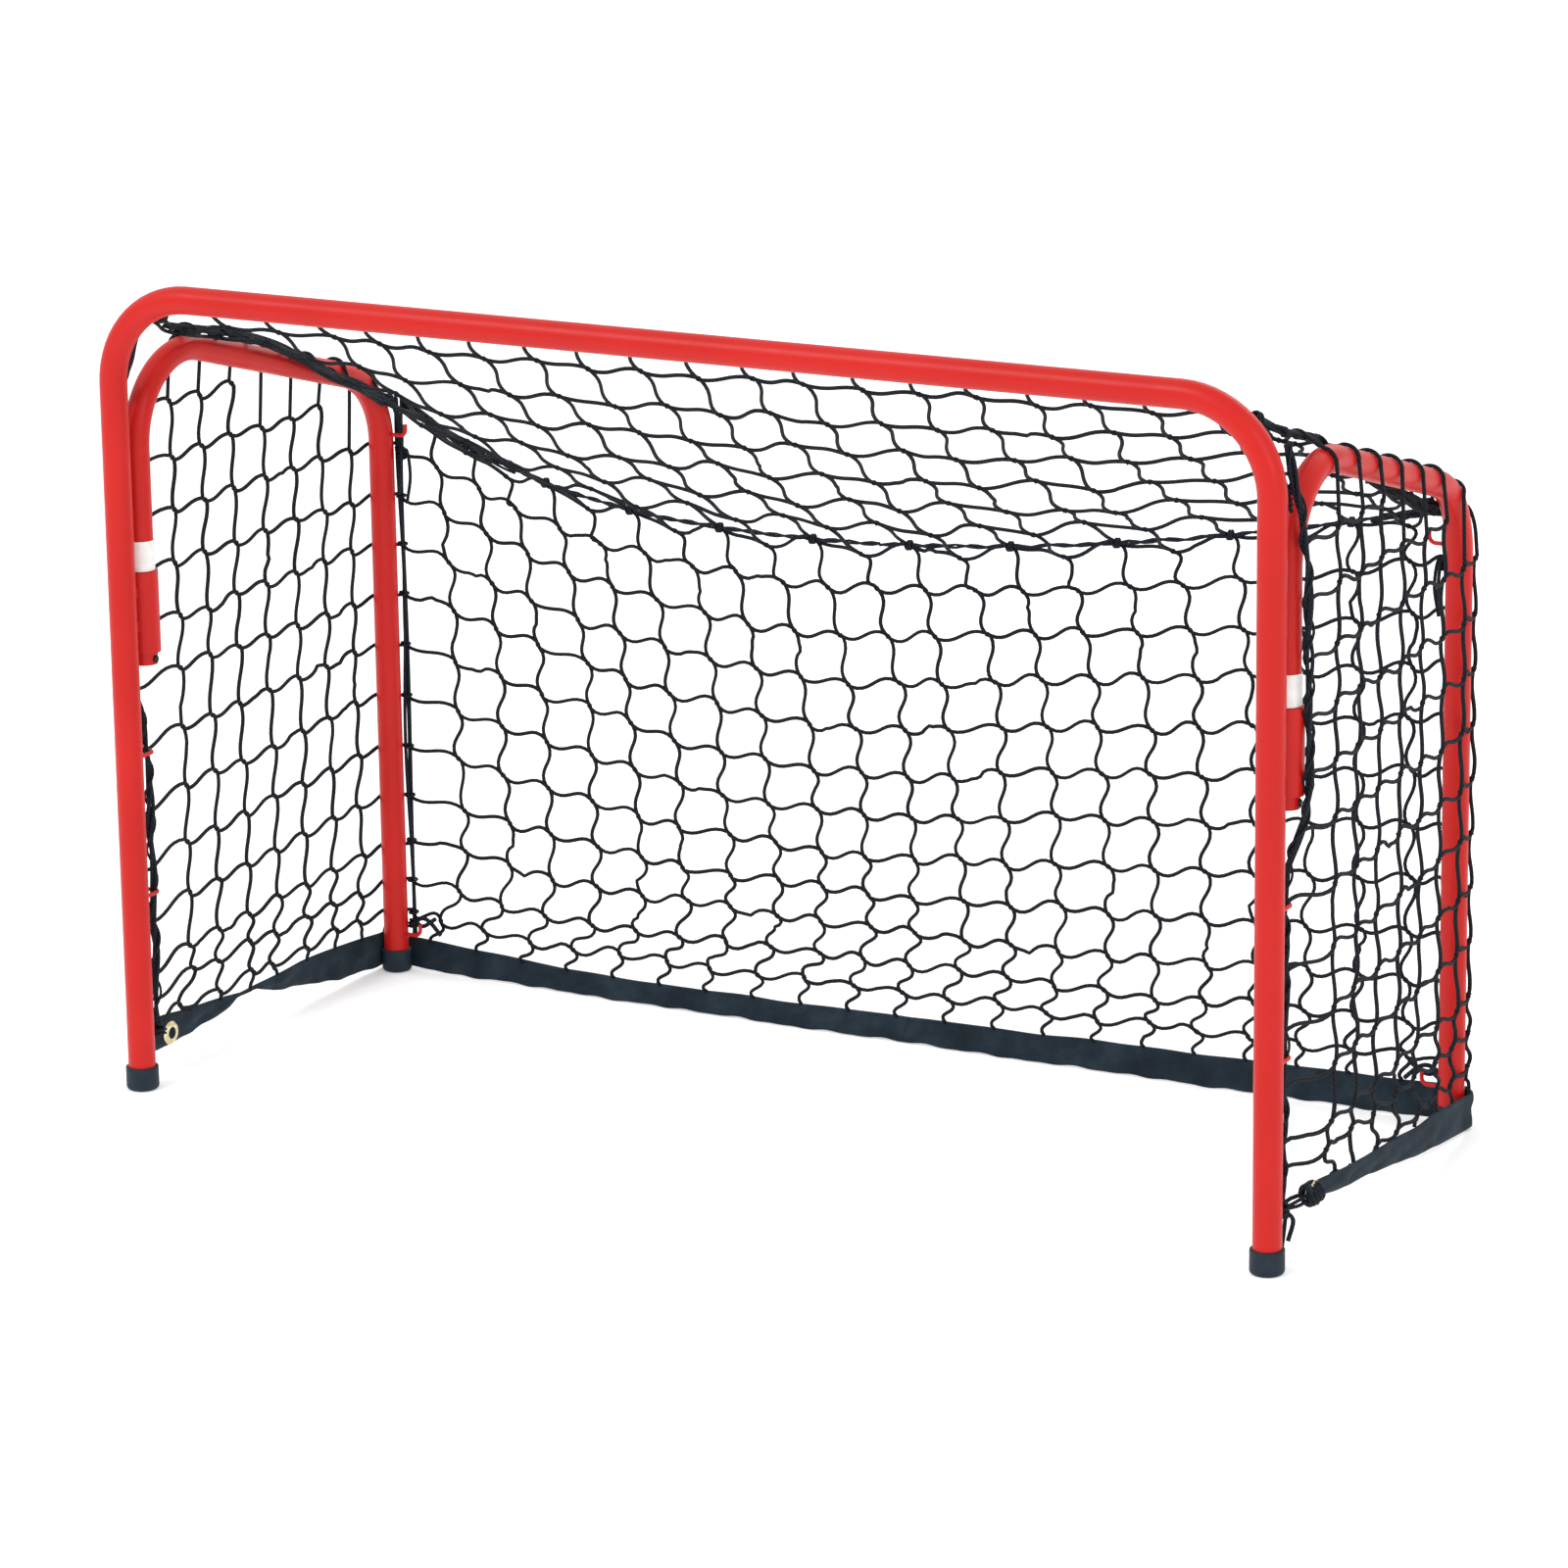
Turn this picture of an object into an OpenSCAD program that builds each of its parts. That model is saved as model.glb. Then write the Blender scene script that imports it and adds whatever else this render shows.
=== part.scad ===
// Folding practice goal for floorball and street hockey.
// A bent front frame carries two hinged side frames, a knotted net and a fabric hem.
// The front frame lies in an X-Z plane, the goal opens towards -Y, and the floor is Z = 0.

/* [Front frame] */
// Width of the front frame over its two posts
frame_w = 920; // [860:10:1000]
// Height of the crossbar's upper side above the floor
frame_h = 600; // [580:10:660]
// Outer diameter of the front frame's tube
frame_tube_d = 20; // [18:1:22]
// Centreline radius of the two upper corners
frame_bend_r = 65; // [50:5:90]
// Wall of both tubes
tube_wall = 1.2; // [1:0.1:2]

/* [Side frames] */
// Outer diameter of the side frames' tube
side_tube_d = 19; // [18:1:19]
// Length of the sloping bar between its two bends
slope_len = 195; // [180:5:210]
// Centreline radius of the side frame's bends
side_bend_r = 62; // [58:1:64]
// Height of the front bend's centre
front_bend_z = 473; // [465:1:475]
// How far each rear leg stands inside its front post
side_toe_in = 9; // [4:1:14]
// Height of the short front leg's lower end
short_leg_z = 315; // [300:1:316]

/* [Hinges] */
// Distance from the front frame's plane to the hinge axis
hinge_offset = 25; // [25:1:28]
// Height of the sleeve's lower end
sleeve_z = 324; // [324:1:340]
// Length of the sleeve
sleeve_len = 60; // [50:1:70]
// Outer diameter of the sleeve
sleeve_d = 24; // [23.5:0.5:25]
// Radial play of the leg in its sleeve
hinge_play = 0.3; // [0.2:0.05:0.4]
// Height of the plain marking band above the sleeve
band_h = 22; // [10:1:30]

/* [Feet] */
// Height of the foot caps
foot_h = 17.5; // [15:0.5:25]
// Wall of a foot cap round its tube
foot_wall = 2; // [1.5:0.1:2.2]
// Thickness of a foot cap's floor
foot_floor = 3; // [2:0.5:5]

/* [Net] */
// Thickness of the net panels
net_t = 1; // [0.8:0.1:1.5]
// Height of the rear rope at its two ends
rear_rope_z = 450; // [440:1:455]
// How far the rear rope sags in the middle
rear_rope_sag = 68; // [20:1:80]
// Diameter of the gathered ropes along the posts, sides and crossbar
rope_d = 6; // [5:0.5:6.5]
// Diameter of the thin rope along the rear upper edge
rear_rope_d = 4; // [3:0.5:6]
// Diameter of the wire hooks
hook_wire_d = 3; // [2.5:0.5:3]

/* [Hem] */
// Height of the fabric hem band
hem_h = 28; // [26:1:40]
// Thickness of the hem band
hem_t = 2.5; // [1.5:0.5:3]
// Outer diameter of a grommet's flange
grommet_d = 18; // [16:1:20]

/* [Hidden] */

$fn = 48;
powder_red = "#d8332b";
moulded_black = "#27323c";
net_black = "#161c26";
fabric_black = "#222a33";
brass_yellow = "#b39a5c";
plain_white = "#f2f2ee";
rivet_black = "#1c1c1e";

frame_r = frame_tube_d / 2;
side_r = side_tube_d / 2;
sleeve_r = sleeve_d / 2;
rope_r = rope_d / 2;
rear_rope_r = rear_rope_d / 2;
wire_r = hook_wire_d / 2;
post_x = frame_w / 2 - frame_r;
bar_z = frame_h - frame_r;
contact_gap = 0.02;
rope_gap = 0.4;

// Side frame, in the plane of its own tube: y runs back from the hinge axis.
// The bar falls as a 7:24:25 triangle, so its sine and cosine are the round numbers 0.28 and 0.96.
slope_angle = atan2(7, 24);
slope_run = 0.96 * slope_len;
slope_fall = 0.28 * slope_len;
side_depth = 2 * side_bend_r + slope_run;
rear_bend_y = side_bend_r + slope_run;
rear_bend_z = front_bend_z - slope_fall;
toe_angle = asin(side_toe_in / side_depth);

// Soft parts outside the side frames.
side_net_x = sleeve_r + 0.6;
side_net_front = 6;
side_net_back = side_depth + side_r;
hem_end_y = side_depth + 13;
hem_gap = 0.5;
net_bottom_z = hem_h + 1;

// Rear net, clear of everything that the rear legs carry round the hinge.
rear_y = hinge_offset + side_depth + sleeve_r + 2.5;
rear_half_w = post_x + 2;
total_depth = frame_r + foot_wall + rear_y + hem_t;
front_y = frame_r + foot_wall - total_depth / 2;

// Top net: rows from the crossbar to the rear rope, [y, height at the sides, sag].
top_half_w = post_x - frame_r;
top_front_y = frame_r + rope_d + 5;
top_front_z = bar_z - frame_r;
brow_y = 300;
brow_z = 497;
brow_sag = 50;
top_back_y = rear_y - 3;
function towards_brow(part) = [
    top_front_y + (brow_y - top_front_y) * part,
    top_front_z + (brow_z - top_front_z) * part,
    brow_sag * part
];
top_rows = [
    [top_front_y, top_front_z, 0],
    towards_brow(0.36),
    towards_brow(0.72),
    [brow_y, brow_z, brow_sag],
    [top_back_y, rear_rope_z, rear_rope_sag]
];
top_columns = 16;

// Hooks and ropes.
hook_leg_len = 20;
hook_half_gap = 6;
post_hook_z = [145, 250];
crossbar_hook_x = [-320, -160, 0, 160, 320];
crossbar_hook_tilt = 6;
crossbar_rope_len = 750;
hook_rope_y = frame_r + 3.5 + rope_r;
side_rope_route = [[30, 557], [85, 545], [140, 528], [296, 455]];
side_rope_x = side_r + rope_r + 1;
corner_rope_x = 10;
corner_rope_y = side_depth + 8.2;
leg_hook_z = [30, 425];
tie_r = 1.25;
base_tie_ring_r = 5;
base_tie_y = frame_r + rope_gap + tie_r + base_tie_ring_r;
base_tie_z = 41;
corner_tie_ring_r = 2.6;
corner_tie_x = 12.5;
corner_tie_z = 407;
grommet_hole_r = 4.5;
grommet_flange_t = 1.1;
tab_z = [341, 366];
tab_h = 8;

// ---------- shared shapes ----------

module in_place() { translate([0, front_y, 0]) children(); }

// Geometry is drawn for the left half, at negative X.
module on_side(side) {
    if (side == "right") mirror([1, 0, 0]) children();
    else children();
}

// The side frame's own frame: origin on the hinge axis, +Y back along the frame.
module side_place(side) {
    in_place() on_side(side)
        translate([-post_x, hinge_offset, 0]) rotate([0, 0, -toe_angle]) children();
}

module post_place(side) { in_place() on_side(side) translate([-post_x, 0, 0]) children(); }

module xz_plane() { rotate([90, 0, 0]) children(); }
module yz_plane() { rotate([90, 0, 90]) children(); }

module tube_section(r) {
    difference() {
        circle(r = r);
        circle(r = r - tube_wall);
    }
}

module straight_tube(r, length) { linear_extrude(length) tube_section(r); }

module tube_bend(r, bend_r, angle) {
    rotate_extrude(angle = angle, $fn = 96) translate([bend_r, 0]) tube_section(r);
}

// Joins a list of rings, each a closed list of points, into one closed solid.
// A ring may be a bent ribbon: its ends are closed by strips across it, and both its faces
// are split along the same diagonals, so a thin twisted sheet keeps its thickness.
module loft(rings) {
    sides = len(rings[0]);
    last = len(rings) - 1;
    polyhedron(
        points = [for (ring = rings) each ring],
        faces = concat(
            [for (i = [0 : sides / 2 - 2]) [i, i + 1, sides - 2 - i]],
            [for (i = [0 : sides / 2 - 2]) [i, sides - 2 - i, sides - 1 - i]],
            [for (k = [0 : last - 1], i = [0 : sides - 1])
                let (a = k * sides + i, b = a + sides, d = k * sides + (i + 1) % sides, c = d + sides)
                    each i < sides / 2 ? [[a, b, c], [a, c, d]] : [[a, b, d], [b, c, d]]],
            [for (i = [0 : sides / 2 - 2]) [sides - 2 - i, i + 1, i] + last * sides * [1, 1, 1]],
            [for (i = [0 : sides / 2 - 2]) [sides - 1 - i, sides - 2 - i, i] + last * sides * [1, 1, 1]]
        )
    );
}

function arc(centre, r, from, to, steps = 12) =
    [for (i = [0 : steps])
        let (a = from + (to - from) * i / steps) centre + r * [cos(a), sin(a)]];

// ---------- front frame ----------

module front_frame() {
    corner_x = post_x - frame_bend_r;
    corner_z = bar_z - frame_bend_r;
    color(powder_red) in_place() union() {
        translate([-corner_x, 0, bar_z]) rotate([0, 90, 0]) straight_tube(frame_r, 2 * corner_x);
        for (side = ["left", "right"]) on_side(side) {
            translate([-post_x, 0, foot_floor]) straight_tube(frame_r, corner_z - foot_floor);
            translate([-corner_x, 0, corner_z]) xz_plane() rotate([0, 0, 90])
                tube_bend(frame_r, frame_bend_r, 90);
        }
    }
}

module foot_cap(tube_r) {
    outer_r = tube_r + foot_wall;
    edge_r = 3;
    color(moulded_black) difference() {
        rotate_extrude() polygon(concat(
            [[0, 0], [outer_r - edge_r, 0]],
            arc([outer_r - edge_r, edge_r], edge_r, -75, 0, 5),
            arc([outer_r - 1, foot_h - 1], 1, 0, 90, 3),
            [[0, foot_h]]
        ));
        translate([0, 0, foot_floor]) cylinder(r = tube_r + contact_gap, h = foot_h);
    }
}

module foot_front(side) { post_place(side) foot_cap(frame_r); }

// A wire staple: both ends welded to a tube of radius tube_r, the loop standing off along +Y.
module wire_staple(tube_r) {
    bend_y = hook_leg_len + tube_r - 2 * hook_half_gap;
    difference() {
        union() {
            for (x = [-hook_half_gap, hook_half_gap])
                translate([x, 0, 0]) rotate([-90, 0, 0]) cylinder(r = wire_r, h = bend_y);
            translate([0, bend_y, 0]) rotate_extrude(angle = 180)
                translate([hook_half_gap, 0]) circle(r = wire_r);
        }
        cylinder(r = tube_r + contact_gap, h = 4 * wire_r, center = true);
    }
}

module post_hooks(side) {
    color(powder_red) post_place(side)
        for (z = post_hook_z) translate([0, 0, z]) wire_staple(frame_r);
}

module crossbar_hooks() {
    color(powder_red) in_place()
        for (x = crossbar_hook_x) translate([x, 0, bar_z]) rotate([-crossbar_hook_tilt, 0, 0])
            rotate([0, 90, 0]) wire_staple(frame_r);
}

module crossbar_rope() {
    color(net_black) in_place()
        translate([0, 0, bar_z]) rotate([-crossbar_hook_tilt, 0, 0])
            translate([-crossbar_rope_len / 2, hook_rope_y, 0]) rotate([0, 90, 0])
                cylinder(r = rope_r, h = crossbar_rope_len);
}

// ---------- hinges ----------

module hinge_sleeve(side) {
    color(powder_red) post_place(side) translate([0, hinge_offset, sleeve_z]) difference() {
        cylinder(r = sleeve_r, h = sleeve_len);
        translate([0, 0, -1]) cylinder(r = side_r + hinge_play, h = sleeve_len + 2);
    }
}

// Two short spacers hold the sleeve off the post.
module sleeve_tabs(side) {
    tab_w = 8;
    color(powder_red) post_place(side) for (z = tab_z) difference() {
        translate([-tab_w / 2, 0, z]) cube([tab_w, hinge_offset, tab_h]);
        translate([0, 0, z - 1]) cylinder(r = frame_r + contact_gap, h = tab_h + 2);
        translate([0, hinge_offset, z - 1]) cylinder(r = sleeve_r + contact_gap, h = tab_h + 2);
    }
}

// A rivet across the leg, under the sleeve, keeps the leg from lifting out.
module retaining_pin(side) {
    head_r = 3;
    head_t = 1.6;
    color(rivet_black) side_place(side) translate([0, 0, (short_leg_z + sleeve_z) / 2 - 0.5])
        rotate([0, 90, 0]) union() {
            cylinder(r = 1.5, h = side_tube_d, center = true);
            for (turn = [0, 180]) rotate([turn, 0, 0]) translate([0, 0, side_r])
                rotate_extrude() polygon(concat([[0, 0]], arc([head_r - head_t, 0], head_t, 0, 90, 4),
                                                [[0, head_t]]));
        }
}

module marking_band(side) {
    color(plain_white) side_place(side) translate([0, 0, sleeve_z + sleeve_len + 0.5]) difference() {
        cylinder(r = side_r + 0.6, h = band_h);
        translate([0, 0, -1]) cylinder(r = side_r + 0.1, h = band_h + 2);
    }
}

// ---------- side frames ----------

// Cuts a bend off square where the sloping bar meets it; direction 1 cuts ahead of it, -1 behind.
module cut_at_slope(direction) {
    reach = side_bend_r + 2 * side_r;
    difference() {
        children();
        rotate([0, 0, -slope_angle]) translate([direction > 0 ? 0 : -reach, 0, -side_tube_d])
            cube([reach, reach, 2 * side_tube_d]);
    }
}

module side_frame(side) {
    color(powder_red) side_place(side) difference() {
        union() {
            translate([0, 0, short_leg_z]) straight_tube(side_r, front_bend_z - short_leg_z);
            translate([0, side_depth, foot_floor]) straight_tube(side_r, rear_bend_z - foot_floor);
            yz_plane() {
                translate([side_bend_r, front_bend_z, 0]) cut_at_slope(1) mirror([1, 0, 0])
                    tube_bend(side_r, side_bend_r, 115);
                translate([side_bend_r, front_bend_z, 0]) rotate([0, 0, -slope_angle])
                    translate([0, side_bend_r, 0]) rotate([0, 90, 0]) straight_tube(side_r, slope_len);
                translate([rear_bend_y, rear_bend_z, 0]) cut_at_slope(-1)
                    tube_bend(side_r, side_bend_r, 85);
            }
        }
        translate([0, 0, (short_leg_z + sleeve_z) / 2 - 0.5]) rotate([0, 90, 0])
            cylinder(r = 1.6, h = 2 * side_tube_d, center = true);
    }
}

module foot_rear(side) { side_place(side) translate([0, side_depth, 0]) foot_cap(side_r); }

// Two bent wire hooks on the inner side of the rear leg, both turned up.
module leg_hooks(side) {
    reach = 8;
    turn_r = 5;
    tip = 4;
    color(powder_red) side_place(side) for (z = leg_hook_z) translate([0, side_depth, z]) difference() {
        union() {
            rotate([0, 90, 0]) cylinder(r = wire_r, h = side_r + reach);
            translate([side_r + reach, 0, turn_r]) xz_plane() rotate([0, 0, -90])
                rotate_extrude(angle = 90) translate([turn_r, 0]) circle(r = wire_r);
            translate([side_r + reach + turn_r, 0, turn_r]) cylinder(r = wire_r, h = tip);
        }
        cylinder(r = side_r + contact_gap, h = 6 * wire_r, center = true);
    }
}

// ---------- nets ----------

function row_height(row, x) =
    row[1] - row[2] * pow(max(0, 1 - pow(x / top_half_w, 2)), 1.5);

module net_top() {
    last = len(top_rows) - 1;
    color(net_black) in_place() loft([
        for (k = [0 : top_columns])
            let (x = top_half_w * (2 * k / top_columns - 1))
                concat(
                    [for (j = [0 : last]) [x, top_rows[j][0], row_height(top_rows[j], x)]],
                    [for (j = [last : -1 : 0]) [x, top_rows[j][0], row_height(top_rows[j], x) - net_t]]
                )
    ]);
}

function rear_edge_z(x) = row_height(top_rows[4], min(abs(x), top_half_w));

module net_back() {
    steps = 16;
    color(net_black) in_place() translate([0, rear_y + net_t, 0]) xz_plane() linear_extrude(net_t)
        polygon(concat(
            [[-rear_half_w, net_bottom_z], [rear_half_w, net_bottom_z]],
            [for (k = [0 : steps])
                let (x = rear_half_w * (1 - 2 * k / steps)) [x, rear_edge_z(x) - rear_rope_r - 1]]
        ));
}

// The left end of the hem hangs lower than the right end, which is tied up.
function hem_front_z(side) = side == "left" ? 44 : 58;
function grommet_at(side) = side == "left" ? [30, 25] : [18, 45];

// The side net lies against the outside of its frame and ends at the tube's outer edge.
module side_net(side) {
    outer_r = side_bend_r + side_r;
    front_end = acos((side_net_front - side_bend_r) / outer_r);
    color(net_black) side_place(side) translate([-side_net_x - net_t, 0, 0]) yz_plane()
        linear_extrude(net_t) polygon(concat(
            [[side_net_front, hem_front_z(side) + 1.5], [31, hem_front_z(side) + 1.5],
             [62.5, net_bottom_z]],
            [[side_net_back, net_bottom_z]],
            arc([rear_bend_y, rear_bend_z], outer_r, 0, 90 - slope_angle),
            arc([side_bend_r, front_bend_z], outer_r, 90 - slope_angle, front_end)
        ));
}

// ---------- hem ----------

module hem_back() {
    color(fabric_black) in_place() translate([-rear_half_w - 1, rear_y, hem_gap])
        cube([2 * rear_half_w + 2, hem_t, hem_h - hem_gap]);
}

// The front end rises to the grommet that ties it to the post.
module side_hem(side) {
    color(fabric_black) side_place(side) translate([-side_net_x - hem_t, 0, 0]) yz_plane()
        linear_extrude(hem_t) difference() {
            polygon([[8, hem_front_z(side) - 26], [24, 12], [52, hem_gap], [hem_end_y, hem_gap],
                     [hem_end_y, hem_h], [60, hem_h], [30, hem_front_z(side)], [8, hem_front_z(side)]]);
            translate(grommet_at(side)) circle(r = grommet_hole_r + 1.3);
        }
}

module grommet(side) {
    flange_r = grommet_d / 2;
    barrel_r = grommet_hole_r + 1;
    color(brass_yellow) side_place(side)
        translate([-side_net_x - hem_t / 2, grommet_at(side)[0], grommet_at(side)[1]])
            rotate([0, 90, 0])
                difference() {
                    union() {
                        cylinder(r = barrel_r, h = hem_t + 0.1, center = true);
                        for (turn = [0, 180]) rotate([turn, 0, 0])
                            translate([0, 0, hem_t / 2 + 0.05])
                                cylinder(r1 = flange_r, r2 = flange_r - 1.5, h = grommet_flange_t);
                    }
                    cylinder(r = grommet_hole_r, h = 3 * hem_t, center = true);
                }
}

// ---------- ropes and ties ----------

cord_sides = 8;

module rear_rope() {
    steps = 24;
    color(net_black) in_place() loft([
        for (k = [0 : steps])
            let (x = (top_half_w - 4) * (2 * k / steps - 1))
                [for (i = [0 : cord_sides - 1])
                    let (a = -360 * i / cord_sides)
                        [x, rear_y + rear_rope_r * cos(a), rear_edge_z(x) + rear_rope_r * sin(a)]]
    ]);
}

// Route of a post rope, [x outwards from the post, y, z]: through the hooks and round the sleeve.
post_rope_route = [
    [0, 15, 47], [0, 16.5, 100], [0, 16.5, 145], [0, 16.5, 200], [0, 16.5, 250], [3, 18, 275],
    [11, 22, 300], [15.6, 25, 324], [15.6, 25, 384], [15.6, 24, 430], [15, 20, 490],
    [9, 16, 535], [3, 15, 560]
];

module post_rope(side) {
    color(net_black) post_place(side) loft([
        for (p = post_rope_route)
            [for (i = [0 : cord_sides - 1])
                let (a = 360 * i / cord_sides)
                    [-p.x + rope_r * cos(a), p.y + rope_r * sin(a), p.z]]
    ]);
}

// The seam between the top net and a side net hangs inside the side frame's upper bar.
module side_rope(side) {
    color(net_black) side_place(side) loft([
        for (p = side_rope_route)
            [for (i = [0 : cord_sides - 1])
                let (a = 360 * i / cord_sides)
                    [side_rope_x + rope_r * cos(a), p.x, p.y + rope_r * sin(a)]]
    ]);
}

module corner_rope(side) {
    bottom_z = 38;
    top_z = corner_tie_z - tie_r - 1;
    color(net_black) side_place(side) translate([corner_rope_x, corner_rope_y, bottom_z])
        cylinder(r = rope_r, h = top_z - bottom_z);
}

// The loop of a knotted cord.
module tie_loop(ring_r) {
    color(net_black) rotate_extrude() translate([ring_r, 0]) circle(r = tie_r);
}

module base_tie(side) {
    post_place(side) translate([0, base_tie_y, base_tie_z]) tie_loop(base_tie_ring_r);
}

module corner_tie(side) {
    side_place(side) translate([corner_tie_x, corner_rope_y, corner_tie_z])
        tie_loop(corner_tie_ring_r);
}

front_frame();
crossbar_hooks();
crossbar_rope();
foot_front("left");  // foot_front_left
foot_front("right");  // foot_front_right
foot_rear("left");  // foot_rear_left
foot_rear("right");  // foot_rear_right
hinge_sleeve("left");  // hinge_sleeve_left
hinge_sleeve("right");  // hinge_sleeve_right
sleeve_tabs("left");  // sleeve_tabs_left
sleeve_tabs("right");  // sleeve_tabs_right
side_frame("left");  // side_frame_left
side_frame("right");  // side_frame_right
retaining_pin("left");  // retaining_pin_left
retaining_pin("right");  // retaining_pin_right
marking_band("left");  // marking_band_left
marking_band("right");  // marking_band_right
post_hooks("left");  // post_hooks_left
post_hooks("right");  // post_hooks_right
leg_hooks("left");  // leg_hooks_left
leg_hooks("right");  // leg_hooks_right
net_top();
net_back();
side_net("left");  // net_left
side_net("right");  // net_right
hem_back();
side_hem("left");  // hem_left
side_hem("right");  // hem_right
grommet("left");  // grommet_left
grommet("right");  // grommet_right
rear_rope();
post_rope("left");  // post_rope_left
post_rope("right");  // post_rope_right
side_rope("left");  // side_rope_left
side_rope("right");  // side_rope_right
corner_rope("left");  // corner_rope_left
corner_rope("right");  // corner_rope_right
base_tie("left");  // base_tie_left
base_tie("right");  // base_tie_right
corner_tie("left");  // corner_tie_left
corner_tie("right");  // corner_tie_right
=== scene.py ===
"""Folding practice goal: knotted net, ropes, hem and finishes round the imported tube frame."""
import math

import bpy
import numpy as np
from mathutils import Matrix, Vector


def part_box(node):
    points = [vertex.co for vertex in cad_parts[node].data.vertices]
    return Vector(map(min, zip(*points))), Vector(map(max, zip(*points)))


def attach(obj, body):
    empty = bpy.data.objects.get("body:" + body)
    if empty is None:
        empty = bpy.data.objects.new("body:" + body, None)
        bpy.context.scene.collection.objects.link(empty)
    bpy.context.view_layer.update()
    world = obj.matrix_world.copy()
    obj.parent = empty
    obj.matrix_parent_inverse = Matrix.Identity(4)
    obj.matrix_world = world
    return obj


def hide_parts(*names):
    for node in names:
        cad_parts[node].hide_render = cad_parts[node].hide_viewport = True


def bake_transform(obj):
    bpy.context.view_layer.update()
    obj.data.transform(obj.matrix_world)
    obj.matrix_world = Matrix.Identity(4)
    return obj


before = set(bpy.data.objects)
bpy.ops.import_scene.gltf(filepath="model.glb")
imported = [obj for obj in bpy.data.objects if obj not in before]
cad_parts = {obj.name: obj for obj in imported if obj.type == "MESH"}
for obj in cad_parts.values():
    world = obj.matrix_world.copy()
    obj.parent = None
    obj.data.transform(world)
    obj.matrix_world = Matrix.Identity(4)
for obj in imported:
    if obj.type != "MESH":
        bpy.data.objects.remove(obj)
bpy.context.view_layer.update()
rng = np.random.default_rng(41)


# ---------- where things are, in millimetres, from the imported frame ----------

def middle(node):
    lo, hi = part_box(node)
    return (np.array(lo) + np.array(hi)) * 500


POST = middle("foot_front_left")
POST_X = abs(POST[0])
HINGE = middle("hinge_sleeve_left")
LEG = middle("foot_rear_left")
DEPTH = float(np.hypot(*(LEG - HINGE)[:2]))
TOE = math.asin((LEG[0] - HINGE[0]) / DEPTH)
REAR_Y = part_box("net_back")[0][1] * 1000
SIDES = ("left", "right")
SIGN = {"left": -1, "right": 1}

# The front frame's corners, and the height of its crossbar's centreline.
CORNER_R = 65.0
CORNER_X = POST_X - CORNER_R
BAR_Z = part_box("front_frame")[1][2] * 1000 - 10
# The side frame's sloping bar: its slope, the angle of its normal, and the centres of its two bends
# as distance from the hinge and height.
BEND_R = 62.0
BEND_Z = 473.0
BAR_LENGTH = 195
BAR_DROP, BAR_RUN = 0.28, 0.96
BAR_NORMAL = math.radians(73.74)
FRONT_BEND = (BEND_R, BEND_Z)
REAR_BEND = (DEPTH - BEND_R, BEND_Z - BAR_DROP * BAR_LENGTH)

# Cord radius in the big net and in the side nets, the length of a strand between two knots, and how
# far the rear rope is pulled forward.
CORD = 1.42
SIDE_CORD = 1.5
MESH = 41.5
BOW = 40.0
# Half length and lowest point of the rear rope, and how far inside the side frame's plane the seam
# rope and the ends of the net's cords lie.
ROPE_HALF = 431
ROPE_LOW_X = -60.0
SEAM_U = -13.6
NET_SEAM_U = -13.5


def unit(v):
    return v / np.maximum(np.linalg.norm(v, axis=-1, keepdims=True), 1e-9)


def smooth(t):
    t = np.clip(t, 0, 1)
    return t * t * (3 - 2 * t)


def from_side(side, u, s, z):
    """A side frame's own place, u outwards, s back from the hinge, z up, to the row frame."""
    x = abs(HINGE[0]) + u * math.cos(TOE) - s * math.sin(TOE)
    y = HINGE[1] + u * math.sin(TOE) + s * math.cos(TOE)
    return np.stack(np.broadcast_arrays(SIGN[side] * x, y, z), -1).astype(float)


def bar_point(s):
    """Height of the side frame's centreline at s, and the normal there in the s-z plane."""
    first = FRONT_BEND[0] + BEND_R * math.cos(BAR_NORMAL)
    last = REAR_BEND[0] + BEND_R * math.cos(BAR_NORMAL)
    if first <= s <= last:
        z = FRONT_BEND[1] + BEND_R * math.sin(BAR_NORMAL) - (s - first) * BAR_DROP / BAR_RUN
        return z, (BAR_DROP, BAR_RUN)
    centre = FRONT_BEND if s < first else REAR_BEND
    a = math.acos(min(1, (s - centre[0]) / BEND_R))
    return centre[1] + BEND_R * math.sin(a), (math.cos(a), math.sin(a))


def seam_height(side, s):
    """The seam rope hangs inside the bar, a little lower on the right."""
    slack = 14 * np.sin(math.pi * np.clip((np.asarray(s, float) - 70) / 235, 0, 1))
    route = np.interp(s, [0, 30, 85, 140, 200, 296], [565, 558, 545, 528, 501, 455])
    return route - (slack if side == "right" else 0)


def forward_pull(x):
    """How far the top net pulls the rear rope forward at x."""
    return BOW * np.clip(1 - (x / ROPE_HALF) ** 2, 0, 1)


def rope_place(x):
    """Points of the rear rope, which is lowest a little left of the middle."""
    x = np.asarray(x, float)
    on_left = x < ROPE_LOW_X
    reach = np.where(on_left, (ROPE_LOW_X - x) / (ROPE_HALF + ROPE_LOW_X),
                     (x - ROPE_LOW_X) / (ROPE_HALF - ROPE_LOW_X))
    bow = forward_pull(x)
    z = 374 + 74 * np.clip(reach, 0, 1) ** np.where(on_left, 2.6, 1.8) + 0.31 * bow
    return np.stack([x, REAR_Y - 1 - bow, z], -1)


# ---------- cords ----------

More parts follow.
